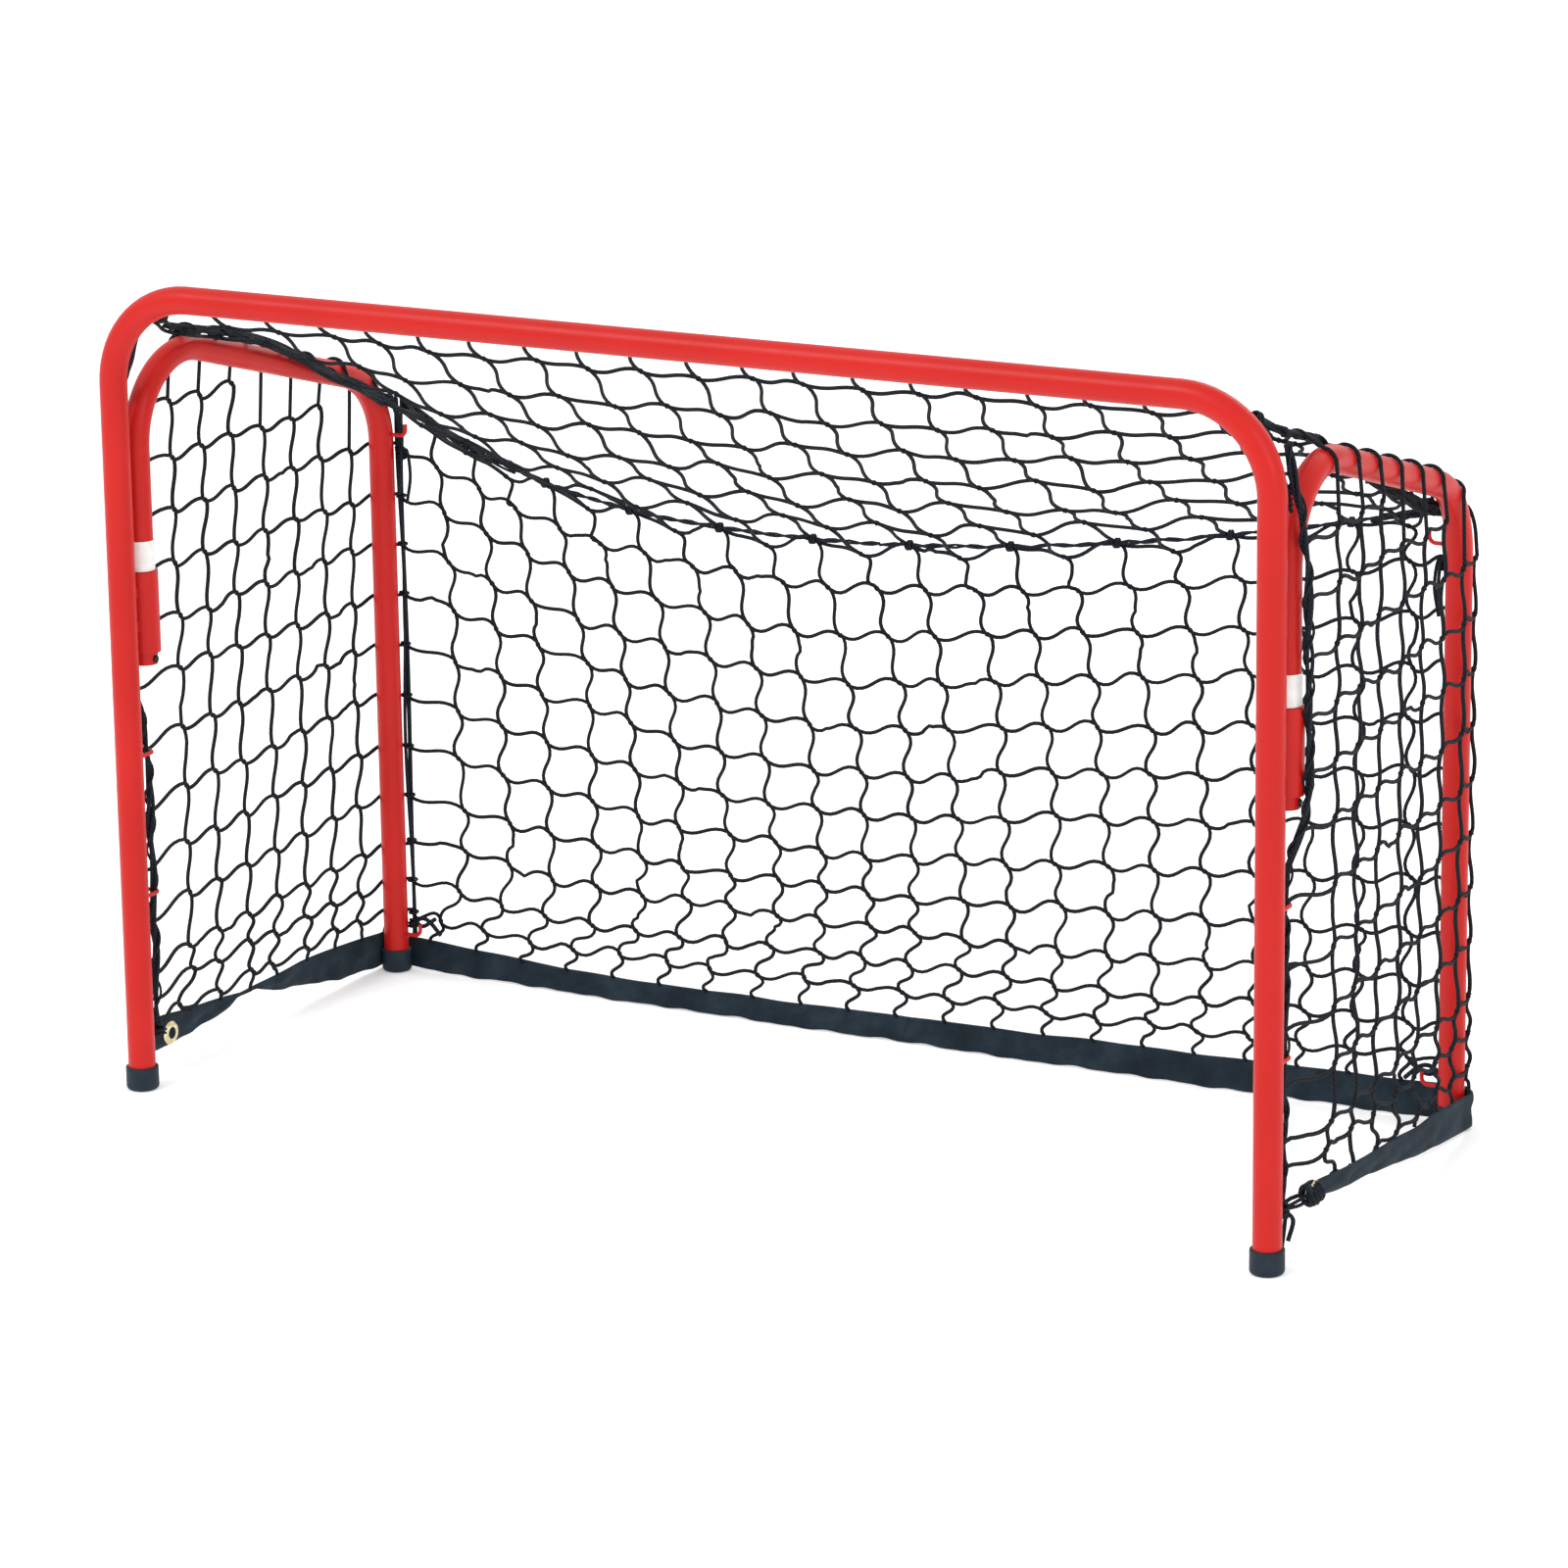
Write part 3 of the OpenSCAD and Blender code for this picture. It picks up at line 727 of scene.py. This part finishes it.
def side_net(side, first, pitch, count, seed):
    """One side net, whose first column is at first, with a column every pitch and one on the leg."""
    cords = Cords()
    knots = Knots(cords, seed, SIDE_CORD)
    jitter = np.random.default_rng(seed + 1)
    right = (from_side(side, 0, 1, 0) - from_side(side, 0, 0, 0)) * -SIGN[side]
    down = np.array([0, 0, -1.0])
    swing = 0.55
    keys = {}
    for k in range(count):
        for row in range(SIDE_ROWS):
            lean = 1 if row > 1 else -1
            s = first + pitch * k + 5 * (row / 12 - 0.4) * (k / count - 0.2) + 2 * lean
            z = side_height(row, s)
            if z > bar_point(s)[0] - 15:
                break
            low = max(0.0, 1 - row / 2.6)
            place = from_side(side, NET_U + jitter.normal(0, 0.5),
                              s + jitter.normal(0, 1.1) + low * jitter.normal(0, 6),
                              z + jitter.normal(0, 1.1) + low * jitter.normal(0, 3))
            knots.add((row, k), place, right, down, 3.2)
            keys[(row, k)] = s
    # The last column lies on the rear leg's outer back edge.
    for row in range(LEG_ROWS):
        knots.add((row, count), from_side(side, LEG_U, LEG_S, side_height(row, DEPTH)), right, down, 3.4)
        keys[(row, count)] = LEG_S
    for row in range(SIDE_ROWS):
        ks = sorted(k for (r, k) in keys if r == row)
        if not ks:
            continue
        # The front end is caught in the gathered edge behind the post.
        z = min(side_height(row, 0), 540)
        lean = np.interp(z, [40, 250, 300, 330, 490, 540], [0, 3, 9, 15.6, 15, 9])
        back = np.interp(z, [40, 250, 300, 330, 430, 490, 540], [16, 17, 22, 25, 24, 20, 16])
        knots.add((row, -1), from_side(side, lean, back - 25, z), right, down, 0.8, False)
        chain = [-1] + ks
        for a, b in zip(chain, chain[1:]):
            if b - a == 1:
                start, end = (a, b) if side == "left" else (b, a)
                knots.leg((row, start), (row, end), SHORT, swing)
        if ks[-1] == count:
            # Round the back of the leg to the corner rope.
            z = side_height(row, DEPTH)
            cords.tube(curve_through([knots.at[(row, count)][0],
                                      from_side(side, 3, DEPTH + 12.2, z - 1),
                                      from_side(side, -5, DEPTH + 12.8, z + 1),
                                      from_side(side, -10, DEPTH + 9.5, z + 2)], 5), CORD)
    for k in range(count + 1):
        rows = sorted(r for (r, kk) in keys if kk == k)
        for a, b in zip(rows[1:], rows):
            knots.leg((a, k), (b, k), SHORT if b > 1 else LOOSE, swing if b > 1 else 1.0)
        # The lowest knot hangs on the hem, the highest one on the seam rope or the corner rope.
        s = keys[(rows[0], k)]
        place, d, *_ = knots.at[(rows[0], k)]
        foot = from_side(side, 12.6, min(s, DEPTH + 4) + jitter.normal(0, 3), hem_top(side, s) - 2)
        cords.tube(bezier(place, unit(d + down), foot, unit(down + d * 0.3),
                          np.linalg.norm(foot - place) * 1.06), CORD)
        place, d, size, *_ = knots.at[(rows[-1], k)]
        if k < count:
            cords.tube(over_bar(side, keys[(rows[-1], k)], place, d, size), CORD)
        else:
            cords.tube(curve_through([place - d * size, from_side(side, 8, DEPTH + 7, 440),
                                      from_side(side, 1, DEPTH + 8.4, 452),
                                      from_side(side, -9, DEPTH + 4, 449)], 5), CORD)
    return cords


def hem_top(side, s):
    """Height of a side hem's upper edge. The left hem narrows at a twist, about 130 mm back."""
    if side == "left":
        return float(np.interp(s, [0, 30, 60, 100, 122, 140, 200, 250, 311],
                               [43, 41, 37, 34, 31, 32, 35, 34, 29]))
    return float(np.interp(s, [0, 14, 60, 115, 200, 251, 311], [56, 53, 48, 42, 36, 34, 28]))


def hem_low(side, s):
    """Height of a side hem's lower edge."""
    if side == "left":
        return float(np.interp(s, [0, 30, 60, 90, 118, 142, 165, 200, 250, 311],
                               [16, 15, 17, 20, 27, 28, 20, 14, 5, 1]))
    return float(np.interp(s, [0, 14, 60, 115, 200, 251, 311], [44, 41, 34, 27, 14, 7, 1]))


for side, first, pitch, count, seed in (("left", 58, 37.7, 7, 5), ("right", 54, 38.6, 7, 11)):
    piece = side_net(side, first, pitch, count, seed).build(f"net_{side}_mesh", FINISH["net_cord"])
    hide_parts(f"net_{side}")
    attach(piece, f"side_{side}")


# ---------- ropes, seams and ties ----------

def crossbar_lacing():
    """Crossbar rope with a lashing at each strand."""
    cords = Cords()
    line = [(x, POST[1] + 16.5, crossbar_line(x)) for x in np.linspace(-425, 425, 60)]
    rope(cords, line, 2.6, strands=2, pitch=40, seed=3)
    for c in range(2, LAST - 1):
        ring(cords, grid[0, c], (1, 0.05, 0.1), 3.7, 0.95, turns=2.3, rise=2.0)
    piece = cords.build("crossbar_lacing", ROPE)
    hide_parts("crossbar_rope")
    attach(piece, "root")


def rear_rope_half(side):
    """Rear rope: thick and gathered at the corner, thin along its sag."""
    sign = SIGN[side]
    cords = Cords()
    edge = abs(LEG[0]) - 11
    xs = np.linspace(0, edge, 60)
    line = rope_place(sign * xs)
    rope(cords, line, 1.7, strands=2, pitch=34, seed=8 + sign, loose=0.2)
    reach = 125 if side == "left" else 80
    gathered = line[xs > edge - reach]
    t = np.linspace(0, 1, len(gathered))
    for k in range(4):
        r = np.random.default_rng(60 + k + sign)
        begin = int(r.uniform(0, 0.5) * len(gathered))
        part = gathered[begin:] + np.stack(
            [np.zeros(len(t) - begin), 2.4 * np.sin(t[begin:] * 9 + k * 1.7),
             2.6 * np.cos(t[begin:] * 8 + k * 2.1) - 1.5 + k * 0.9], -1)
        cords.tube(part, 0.9 + 0.7 * smooth(t[begin:] * 1.3))
    for c in range(1, LAST):
        if lashed[c] and (grid[TOP_ROWS, c, 0] < 0) == (side == "left"):
            ring(cords, grid[TOP_ROWS, c], (1, 0, 0.1), 3.2, 0.9, turns=2.2, rise=1.9)
    piece = cords.build(f"rear_rope_{side}_half", ROPE)
    fold_with(piece, rear_weight)
    if side == "left":
        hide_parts("rear_rope")


def seam_rope(side):
    """Seam inside the bar, from the hinge side to the rear corner."""
    sign = SIGN[side]
    cords = Cords()
    route = [from_side(side, SEAM_U, s, seam_height(side, s)) for s in range(22, 305, 8)]
    rope(cords, route, 2.4, strands=3, pitch=170, seed=21 + sign, loose=0.35, lace=38)
    r = np.random.default_rng(31 + sign)
    for k in range(9):
        first = 24 + 16 * max(0, k - 3)
        route = [from_side(side, SEAM_U - r.uniform(-1.8, 2.0), s,
                           seam_height(side, s) + r.uniform(-1, 1) * (1.4 + 4.2 * s / 300))
                 for s in range(first, 304, 34)]
        cords.tube(curve_through(route, 8), r.uniform(1.1, 1.8), 6)
    piece = cords.build(f"seam_rope_{side}", ROPE)
    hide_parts(f"side_rope_{side}")
    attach(piece, f"side_{side}")


def heads(side):
    """What is tied at the front frame's corner: the seam's head and the post's gathered strands."""
    sign = SIGN[side]
    corner_x = CORNER_X + 36
    top = np.array([sign * corner_x, POST[1] + 15, crossbar_line(corner_x) - 1])
    side_end = from_side(side, SEAM_U, 26, float(seam_height(side, 26)))
    r = np.random.default_rng(44 + sign)
    cords = Cords()
    for _ in range(7):
        mid = (top + side_end) / 2 + r.normal(0, 1.8, 3) + np.array([0, 0, 1.5])
        cords.tube(curve_through([top + r.normal(0, 1.8, 3), mid, side_end + r.normal(0, 1.4, 3)], 8),
                   r.uniform(0.9, 1.5))
    ring(cords, (top * 2 + side_end) / 3, side_end - top, 4.6, 1.2, turns=2.6, rise=2.6)
    piece = cords.build(f"seam_head_{side}", ROPE)
    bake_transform(piece)

    # From the corner down to the back of the post.
    cords = Cords()
    for k in range(6):
        drop = [top + r.normal(0, 1.5, 3),
                np.array([sign * (POST_X - 15 + k), POST[1] + 13.8 + r.normal(0, 0.6), 564 - 2 * k]),
                np.array([sign * (POST_X - 6 + k), POST[1] + 14.2 + r.normal(0, 0.6), 541 - 3 * k]),
                np.array([sign * (POST_X + 6), POST[1] + 17, 515 + 4 * k])]
        cords.tube(curve_through(drop, 8), r.uniform(1.1, 1.8))
    piece = cords.build(f"post_head_{side}", ROPE)
    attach(piece, "root")


def corner_rope(side):
    """Corner rope down the inner back of the rear leg, and the knot and loose tails at its top."""
    r = np.random.default_rng(70 + SIGN[side])
    cords = Cords()
    for k, (u, s, thick) in enumerate(((-9.8, 8.8, 1.35), (-11.4, 10.6, 1.2), (-9.4, 11.2, 1.1))):
        zs = np.linspace(27, 457 - 3 * k, 40)
        drift = 1.1 * np.sin(zs / r.uniform(28, 46) + r.uniform(0, 6))
        lean = 0.9 * np.cos(zs / r.uniform(22, 40) + r.uniform(0, 6))
        cords.tube(from_side(side, u + drift, DEPTH + s + lean, zs), thick)
    for row in range(TOP_ROWS + 1, ROWS - 1):
        ring(cords, grid[row, 0 if side == "left" else LAST] + np.array([0, 1.5, 0]),
             (0, 0, 1), 3.4, 0.9, turns=1.4, rise=1.8)
    piece = cords.build(f"corner_rope_{side}_strands", ROPE)
    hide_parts(f"corner_rope_{side}")
    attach(piece, f"side_{side}")

    cords = Cords()
    tie_u, tie_s, tie_z = -12.5, DEPTH + 8.2, 407
    knot_at = from_side(side, tie_u, tie_s, tie_z)
    ring(cords, knot_at, (0, 0, 1), 3.4, 1.2, turns=2.2, rise=2.2)
    ring(cords, knot_at + np.array([0, 0, 4.5]), (0.4, 0.2, 1), 2.6, 1.2, turns=1.6, rise=2.0)
    for du, ds, dz in ((-7, -1, -36), (-3, -6, -28)):
        turn = [from_side(side, tie_u + a * du, tie_s + b * ds, tie_z + c)
                for a, b, c in ((0, 0, 2), (0.8, 0.6, 5), (1.2, 1.0, dz * 0.4), (0.7, 1.3, dz))]
        cords.tube(curve_through(turn, 7), 1.3, 6)
    for k in range(4):
        drop = [from_side(side, tie_u + r.normal(0, 1.0), DEPTH + h + r.normal(0, 1.0), z)
                for h, z in ((-10 + 3 * k, 458), (1 + k, 445), (6 + k, 430), (8.2, 408))]
        cords.tube(curve_through(drop, 8), r.uniform(1.1, 1.7), 6)
    piece = cords.build(f"corner_tie_{side}_cord", ROPE)
    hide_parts(f"corner_tie_{side}")
    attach(piece, f"side_{side}")


def foot_knot(side):
    """Short crossed tails at the foot of the corner rope."""
    cords = Cords()
    foot_at = from_side(side, -10.5, DEPTH + 8.8, 36)
    ring(cords, foot_at, (0.1, 0.1, 1), 3.2, 1.3, turns=2.2, rise=2.4)
    for ways in (((0, 0, 0), (9, -2, 6), (17, -3, 4), (27, -4, -5)), ((0, 0, 4), (10, -3, 0), (23, -5, 8))):
        tail = [foot_at + np.array([-SIGN[side] * x, y, z]) for x, y, z in ways]
        cords.tube(curve_through(tail, 6), 1.7)
    piece = cords.build(f"foot_knot_{side}", ROPE)
    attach(piece, f"side_{side}")


def post_lacing(side):
    """Gathered edge of the side net and its lacing, down the back of the post and round the sleeve."""
    sign = SIGN[side]
    cords = Cords()
    beside = 2.0 * sign
    route = [(beside, 18, 44), (beside, 20, 100), (beside, 20.5, 150), (beside, 20.5, 200),
             (beside, 20, 250), (3 + beside / 2, 20, 275), (11, 22, 300), (15.6, 25, 324),
             (15.6, 25, 384), (15.6, 24, 430), (15, 20, 490), (9, 16, 535), (3, 15, 560)]
    line = [(sign * (POST_X + x), POST[1] + y, z) for x, y, z in route]
    rope(cords, curve_through(line, 6), 2.5, strands=3, pitch=95, seed=81 + sign, loose=1.0, lace=41)
    piece = cords.build(f"post_lacing_{side}", ROPE)
    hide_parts(f"post_rope_{side}")
    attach(piece, "root")


def base_ties(side):
    """Knot behind the foot of the post, and the cord from it to the end of the hem."""
    sign = SIGN[side]
    cords = Cords()
    lump = np.array([sign * POST_X + 2.0, POST[1] + 18.6, 39.0])
    ring(cords, lump, (0, 0, 1), 4.4, 1.3, turns=2.4, rise=2.6)
    ring(cords, lump + np.array([sign * 2.0, 2, -2.0]), (1, 0.3, 0.2), 3.4, 1.3, 2.0, 1.9)
    ring(cords, lump + np.array([0, 1, 5.0]), (0.2, 0.4, 1), 3.0, 1.2, 1.7, 1.8)
    if side == "right":
        for dx, dy, dz in ((4, 4, -22), (-1, 7, -29)):
            tail = [lump, lump + np.array([dx * 1.4, dy + 2.0, -8.0]), lump + np.array([dx, dy * 0.4, dz])]
            cords.tube(curve_through(tail, 8), 1.6, 6)
    piece = cords.build(f"base_tie_{side}_cord", ROPE)
    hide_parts(f"base_tie_{side}")
    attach(piece, "root")

    cords = Cords()
    to_hem = from_side(side, 13.5, 27, 27) if side == "left" else from_side(side, 13.5, 17, 45)
    for k in (-1, 1):
        mid = (lump + to_hem) / 2 + np.array([sign * 3.0, 0, 2.0 * k])
        cords.tube(curve_through([lump, mid, to_hem + np.array([0, 0, 1.2 * k])], 7), 1.25, 6)
    piece = cords.build(f"hem_cord_{side}", ROPE)
    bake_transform(piece)

    # On the right the end of the hem is tied up, with its grommet inside the knot.
    if side == "right":
        cords = Cords()
        ring(cords, to_hem, (0.3, 1, 0.2), 6.2, 2.1, turns=3.2, rise=3.2)
        ring(cords, to_hem + np.array([1.0, -2, 0]), (1, 0.4, 0.5), 6.6, 1.8, turns=1.6, rise=2.6)
        piece = cords.build("hem_knot_right", ROPE)
        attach(piece, f"side_{side}")


crossbar_lacing()
for side in SIDES:
    rear_rope_half(side)
    seam_rope(side)
    heads(side)
    corner_rope(side)
    foot_knot(side)
    post_lacing(side)
    base_ties(side)


# ---------- hem ----------

def band(name, low, high, out, seed):
    """A folded fabric band between its lower and upper edge; out is the way its face looks."""
    r = np.random.default_rng(seed)
    n = len(low)
    across = 12
    around = 2 * across
    step = 2.6
    along = run_length(low)
    phase = r.uniform(0, 6, 8)
    verts, faces, uvs = [], [], []
    for k in range(n):
        wave = 1.0 * math.sin(along[k] / 23 + phase[0]) + 0.7 * math.sin(along[k] / 11 + phase[1])
        pucker = 0.5 * math.sin(along[k] / 6.5 + phase[2]) + 0.35 * math.sin(along[k] / 3.9 + phase[3])
        for m in range(around):
            face = 1 if m < across else -1
            t = (m + 0.5) / across if m < across else (around - m - 0.5) / across
            swell = math.sqrt(max(0.0, 1 - (2 * t - 1) ** 2))
            thick = 1.3 * swell ** 0.6 + 0.15
            fold = (0.9 * math.sin(t * 5 + along[k] / 17 + phase[4])
                    + 0.6 * math.sin(t * 9 - along[k] / 9 + phase[5])) * swell
            p = (low[k] * (1 - t) + high[k] * t
                 + out[k] * (face * thick + (wave + pucker * (1 - t) + fold) * (0.25 + 0.75 * swell)))
            p = p + np.array([0, 0, 0.55 * pucker * (1 - t)])
            verts.append(p)
    for k in range(n - 1):
        here, there = k * around, (k + 1) * around
        for m in range(around):
            m2 = (m + 1) % around
            faces.append((here + m, here + m2, there + m2, there + m))
            v1, v2 = m * step, (m + 1) * step
            uvs.extend([(along[k], v1), (along[k], v2), (along[k + 1], v2), (along[k + 1], v1)])
    for k, order in ((0, range(around - 1, -1, -1)), (n - 1, range(around))):
        faces.append(tuple(k * around + m for m in order))
        uvs.extend([(along[k] + m * 0.1, m * step) for m in order])
    verts = np.array(verts)
    verts[:, 2] = np.maximum(verts[:, 2], 0.3)
    return mesh_piece(name, verts, faces, uvs, FINISH["hem_fabric"])


def hem_rear(side):
    """Lower edge, upper edge and facing of half the rear hem, from the middle outwards."""
    width = 28.0
    low, high, out = [], [], []
    for x in SIGN[side] * np.linspace(0, POST_X - 1, 120):
        rise = float(hem_rise(x))
        lean = math.sqrt(max(0, width ** 2 - rise ** 2)) * 0.55
        low.append((x, REAR_Y + 1 - lean, 1.0))
        high.append((x, REAR_Y + 1.4, rise))
        out.append((0, 1.0, 0.35))
    low, high, out = (np.array(v, float) for v in (low, high, out))
    return low, high, unit(out)


def hem_side(side):
    """The same of a side hem, which turns round the back of the rear leg at its end.

    The left hem bulges in two places and is twisted once; the right one is twisted at its front end.
    """
    hem_u, bend_r = 14.2, 10.2
    bend_s = DEPTH + 2
    ss = np.concatenate([np.linspace(8, 60, 20), np.linspace(63, bend_s, 70),
                         bend_s + bend_r * np.sin(np.linspace(0.1, 1.5, 12))])
    low, high, out = [], [], []
    for s in ss:
        if side == "left":
            bulge = 3.5 * math.exp(-((s - 190) / 40) ** 2) + 1.5 * math.exp(-((s - 60) / 30) ** 2)
            twist = math.exp(-((s - 128) / 13) ** 2)
        else:
            bulge = 0.0
            twist = math.exp(-((s - 10) / 14) ** 2)
        turn = math.asin(float(np.clip((s - bend_s) / 10.4, 0, 1)))
        u = hem_u - bend_r * (1 - math.cos(turn))
        low.append(from_side(side, u + bulge * 0.4 + 3.0 * twist, s, hem_low(side, s)))
        high.append(from_side(side, u - 0.5 * bulge, s, hem_top(side, s)))
        out.append(from_side(side, math.cos(turn), math.sin(turn), 0) - from_side(side, 0, 0, 0))
    return (np.array(v, float) for v in (low, high, out))


for side in SIDES:
    low, high, out = hem_rear(side)
    piece = band(f"hem_rear_{side}_half", low, high, out, 3)
    fold_with(piece, rear_weight)
    if side == "left":
        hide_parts("hem_back")

for side in SIDES:
    low, high, out = hem_side(side)
    piece = band(f"hem_{side}_band", low, high, out, 9 if side == "left" else 14)
    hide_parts(f"hem_{side}")
    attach(piece, f"side_{side}")


# ---------- camera, floor and light ----------

def aim(obj, place, target, roll=0.0):
    """Puts an object at place, looking at target, turned by roll about its own line of sight."""
    back = unit(np.asarray(place, float) - np.asarray(target, float))
    right = unit(np.cross([0, 0, 1.0], back))
    up = np.cross(back, right)
    r = right * math.cos(roll) + up * math.sin(roll)
    u = -right * math.sin(roll) + up * math.cos(roll)
    obj.matrix_world = Matrix(((r[0], u[0], back[0], place[0]), (r[1], u[1], back[1], place[1]),
                               (r[2], u[2], back[2], place[2]), (0, 0, 0, 1)))


camera = bpy.data.objects.new("camera", bpy.data.cameras.new("camera"))
bpy.context.collection.objects.link(camera)
camera.data.sensor_width = 36
camera.data.lens = 142.99
camera.data.clip_end = 60
azimuth, elevation, roll = math.radians(28.80), math.radians(15.205), math.radians(-0.7954)
distance = 4.4679
target = np.array([-0.0212, 0.0294, 0.2322])
away = np.array([math.sin(azimuth) * math.cos(elevation), -math.cos(azimuth) * math.cos(elevation),
                 math.sin(elevation)])
aim(camera, target + away * distance, target, roll)
bpy.context.scene.camera = camera

floor_mesh = bpy.data.meshes.new("floor")
floor_mesh.from_pydata([(-30, -30, 0), (30, -30, 0), (30, 30, 0), (-30, 30, 0)], [], [(0, 1, 2, 3)])
floor = bpy.data.objects.new("floor", floor_mesh)
bpy.context.collection.objects.link(floor)
glowing_floor, nodes, links, shader = material("pale_floor", (0.93, 0.93, 0.93), 0.9)
shader.inputs["Specular IOR Level"].default_value = 0.1
# The floor also glows though it is no lamp: painted light, which washes out the frame's shadow on the
# floor.
shader.inputs["Emission Color"].default_value = (1, 1, 1, 1)
shader.inputs["Emission Strength"].default_value = 0.22
floor_mesh.materials.append(glowing_floor)

world = bpy.data.worlds.new("studio")
bpy.context.scene.world = world
world.use_nodes = True
world.node_tree.nodes["Background"].inputs["Color"].default_value = (1, 1, 1, 1)
world.node_tree.nodes["Background"].inputs["Strength"].default_value = 0.95


def softbox(name, place, size, power):
    light = bpy.data.lights.new(name, "AREA")
    light.shape, light.size, light.size_y, light.energy = "RECTANGLE", size[0], size[1], power
    obj = bpy.data.objects.new(name, light)
    bpy.context.collection.objects.link(obj)
    aim(obj, place, (0, 0, 0.3))


softbox("key", (-1.6, -2.6, 3.4), (2.4, 1.6), 70)
softbox("fill", (3.2, -1.8, 2.0), (1.6, 2.2), 28)
softbox("rim", (0.4, 3.4, 2.6), (2.6, 1.4), 34)

bpy.context.scene.view_settings.view_transform = "Standard"
